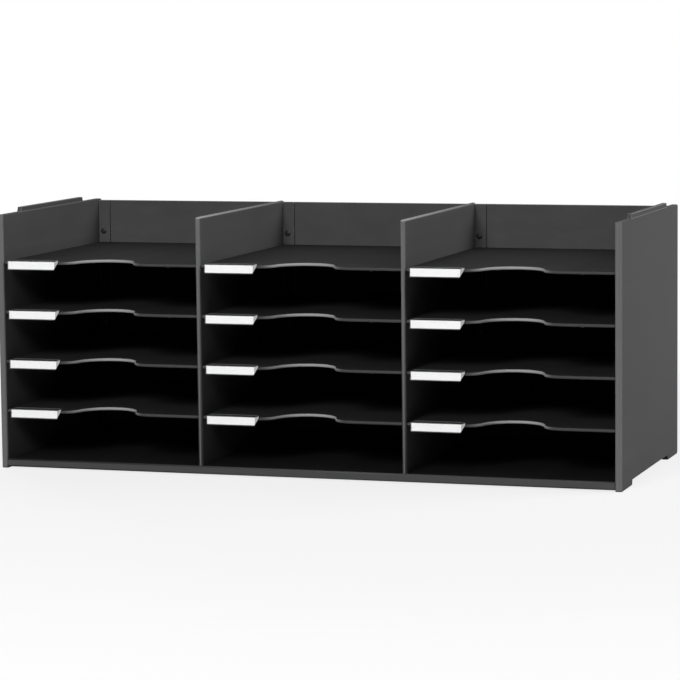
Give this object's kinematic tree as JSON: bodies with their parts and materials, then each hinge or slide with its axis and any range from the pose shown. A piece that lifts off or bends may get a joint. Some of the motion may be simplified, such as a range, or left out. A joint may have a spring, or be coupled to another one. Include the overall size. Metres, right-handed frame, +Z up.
{
  "type": "pigeonhole mail sorter",
  "caption": "Low wide desk-top mail sorter of moulded plastic: columns of pull-out paper shelves with finger scoops and label holders, an open top row, and tabs for stacking.",
  "frame": {"origin": "on the desk, at the centre of the unit's footprint", "axes": "+X to the right as seen from the front, +Y to the back, with the open front facing -Y, +Z up"},
  "size_m": [0.754, 0.308, 0.3076],
  "materials": {
    "panel_plastic": "fine satin",
    "shelf_plastic": "fine satin",
    "rivet_plastic": "matte",
    "clear_plastic": "clear gloss",
    "card_paper": "uncoated white card"
  },
  "bodies": {
    "carcass": {"left_side_panel": "panel_plastic", "right_side_panel": "panel_plastic", "left_divider": "panel_plastic", "right_divider": "panel_plastic", "base_panel": "shelf_plastic", "back_panel": "panel_plastic", "back_rivets": "rivet_plastic"},
    "pull_shelf_left_1": {"shelf_left_1": "shelf_plastic", "label_holder_left_1": "clear_plastic"},
    "pull_card_left_1": {"label_card_left_1": "card_paper"},
    "pull_shelf_left_2": {"shelf_left_2": "shelf_plastic", "label_holder_left_2": "clear_plastic"},
    "pull_card_left_2": {"label_card_left_2": "card_paper"},
    "pull_shelf_left_3": {"shelf_left_3": "shelf_plastic", "label_holder_left_3": "clear_plastic"},
    "pull_card_left_3": {"label_card_left_3": "card_paper"},
    "pull_shelf_left_4": {"shelf_left_4": "shelf_plastic", "label_holder_left_4": "clear_plastic"},
    "pull_card_left_4": {"label_card_left_4": "card_paper"},
    "pull_shelf_middle_1": {"shelf_middle_1": "shelf_plastic", "label_holder_middle_1": "clear_plastic"},
    "pull_card_middle_1": {"label_card_middle_1": "card_paper"},
    "pull_shelf_middle_2": {"shelf_middle_2": "shelf_plastic", "label_holder_middle_2": "clear_plastic"},
    "pull_card_middle_2": {"label_card_middle_2": "card_paper"},
    "pull_shelf_middle_3": {"shelf_middle_3": "shelf_plastic", "label_holder_middle_3": "clear_plastic"},
    "pull_card_middle_3": {"label_card_middle_3": "card_paper"},
    "pull_shelf_middle_4": {"shelf_middle_4": "shelf_plastic", "label_holder_middle_4": "clear_plastic"},
    "pull_card_middle_4": {"label_card_middle_4": "card_paper"},
    "pull_shelf_right_1": {"shelf_right_1": "shelf_plastic", "label_holder_right_1": "clear_plastic"},
    "pull_card_right_1": {"label_card_right_1": "card_paper"},
    "pull_shelf_right_2": {"shelf_right_2": "shelf_plastic", "label_holder_right_2": "clear_plastic"},
    "pull_card_right_2": {"label_card_right_2": "card_paper"},
    "pull_shelf_right_3": {"shelf_right_3": "shelf_plastic", "label_holder_right_3": "clear_plastic"},
    "pull_card_right_3": {"label_card_right_3": "card_paper"},
    "pull_shelf_right_4": {"shelf_right_4": "shelf_plastic", "label_holder_right_4": "clear_plastic"},
    "pull_card_right_4": {"label_card_right_4": "card_paper"}
  },
  "joints": [
    {"name": "shelf_left_1_slide", "type": "slide", "parent": "carcass", "child": "pull_shelf_left_1", "axis": [0, -1, 0], "range_m": [0, 0.31]},
    {"name": "card_left_1_slide", "type": "slide", "parent": "pull_shelf_left_1", "child": "pull_card_left_1", "axis": [1, 0, 0], "range_m": [0, 0.07]},
    {"name": "shelf_left_2_slide", "type": "slide", "parent": "carcass", "child": "pull_shelf_left_2", "axis": [0, -1, 0], "range_m": [0, 0.31]},
    {"name": "card_left_2_slide", "type": "slide", "parent": "pull_shelf_left_2", "child": "pull_card_left_2", "axis": [1, 0, 0], "range_m": [0, 0.07]},
    {"name": "shelf_left_3_slide", "type": "slide", "parent": "carcass", "child": "pull_shelf_left_3", "axis": [0, -1, 0], "range_m": [0, 0.31]},
    {"name": "card_left_3_slide", "type": "slide", "parent": "pull_shelf_left_3", "child": "pull_card_left_3", "axis": [1, 0, 0], "range_m": [0, 0.07]},
    {"name": "shelf_left_4_slide", "type": "slide", "parent": "carcass", "child": "pull_shelf_left_4", "axis": [0, -1, 0], "range_m": [0, 0.31]},
    {"name": "card_left_4_slide", "type": "slide", "parent": "pull_shelf_left_4", "child": "pull_card_left_4", "axis": [1, 0, 0], "range_m": [0, 0.07]},
    {"name": "shelf_middle_1_slide", "type": "slide", "parent": "carcass", "child": "pull_shelf_middle_1", "axis": [0, -1, 0], "range_m": [0, 0.31]},
    {"name": "card_middle_1_slide", "type": "slide", "parent": "pull_shelf_middle_1", "child": "pull_card_middle_1", "axis": [1, 0, 0], "range_m": [0, 0.07]},
    {"name": "shelf_middle_2_slide", "type": "slide", "parent": "carcass", "child": "pull_shelf_middle_2", "axis": [0, -1, 0], "range_m": [0, 0.31]},
    {"name": "card_middle_2_slide", "type": "slide", "parent": "pull_shelf_middle_2", "child": "pull_card_middle_2", "axis": [1, 0, 0], "range_m": [0, 0.07]},
    {"name": "shelf_middle_3_slide", "type": "slide", "parent": "carcass", "child": "pull_shelf_middle_3", "axis": [0, -1, 0], "range_m": [0, 0.31]},
    {"name": "card_middle_3_slide", "type": "slide", "parent": "pull_shelf_middle_3", "child": "pull_card_middle_3", "axis": [1, 0, 0], "range_m": [0, 0.07]},
    {"name": "shelf_middle_4_slide", "type": "slide", "parent": "carcass", "child": "pull_shelf_middle_4", "axis": [0, -1, 0], "range_m": [0, 0.31]},
    {"name": "card_middle_4_slide", "type": "slide", "parent": "pull_shelf_middle_4", "child": "pull_card_middle_4", "axis": [1, 0, 0], "range_m": [0, 0.07]},
    {"name": "shelf_right_1_slide", "type": "slide", "parent": "carcass", "child": "pull_shelf_right_1", "axis": [0, -1, 0], "range_m": [0, 0.31]},
    {"name": "card_right_1_slide", "type": "slide", "parent": "pull_shelf_right_1", "child": "pull_card_right_1", "axis": [1, 0, 0], "range_m": [0, 0.07]},
    {"name": "shelf_right_2_slide", "type": "slide", "parent": "carcass", "child": "pull_shelf_right_2", "axis": [0, -1, 0], "range_m": [0, 0.31]},
    {"name": "card_right_2_slide", "type": "slide", "parent": "pull_shelf_right_2", "child": "pull_card_right_2", "axis": [1, 0, 0], "range_m": [0, 0.07]},
    {"name": "shelf_right_3_slide", "type": "slide", "parent": "carcass", "child": "pull_shelf_right_3", "axis": [0, -1, 0], "range_m": [0, 0.31]},
    {"name": "card_right_3_slide", "type": "slide", "parent": "pull_shelf_right_3", "child": "pull_card_right_3", "axis": [1, 0, 0], "range_m": [0, 0.07]},
    {"name": "shelf_right_4_slide", "type": "slide", "parent": "carcass", "child": "pull_shelf_right_4", "axis": [0, -1, 0], "range_m": [0, 0.31]},
    {"name": "card_right_4_slide", "type": "slide", "parent": "pull_shelf_right_4", "child": "pull_card_right_4", "axis": [1, 0, 0], "range_m": [0, 0.07]}
  ]
}
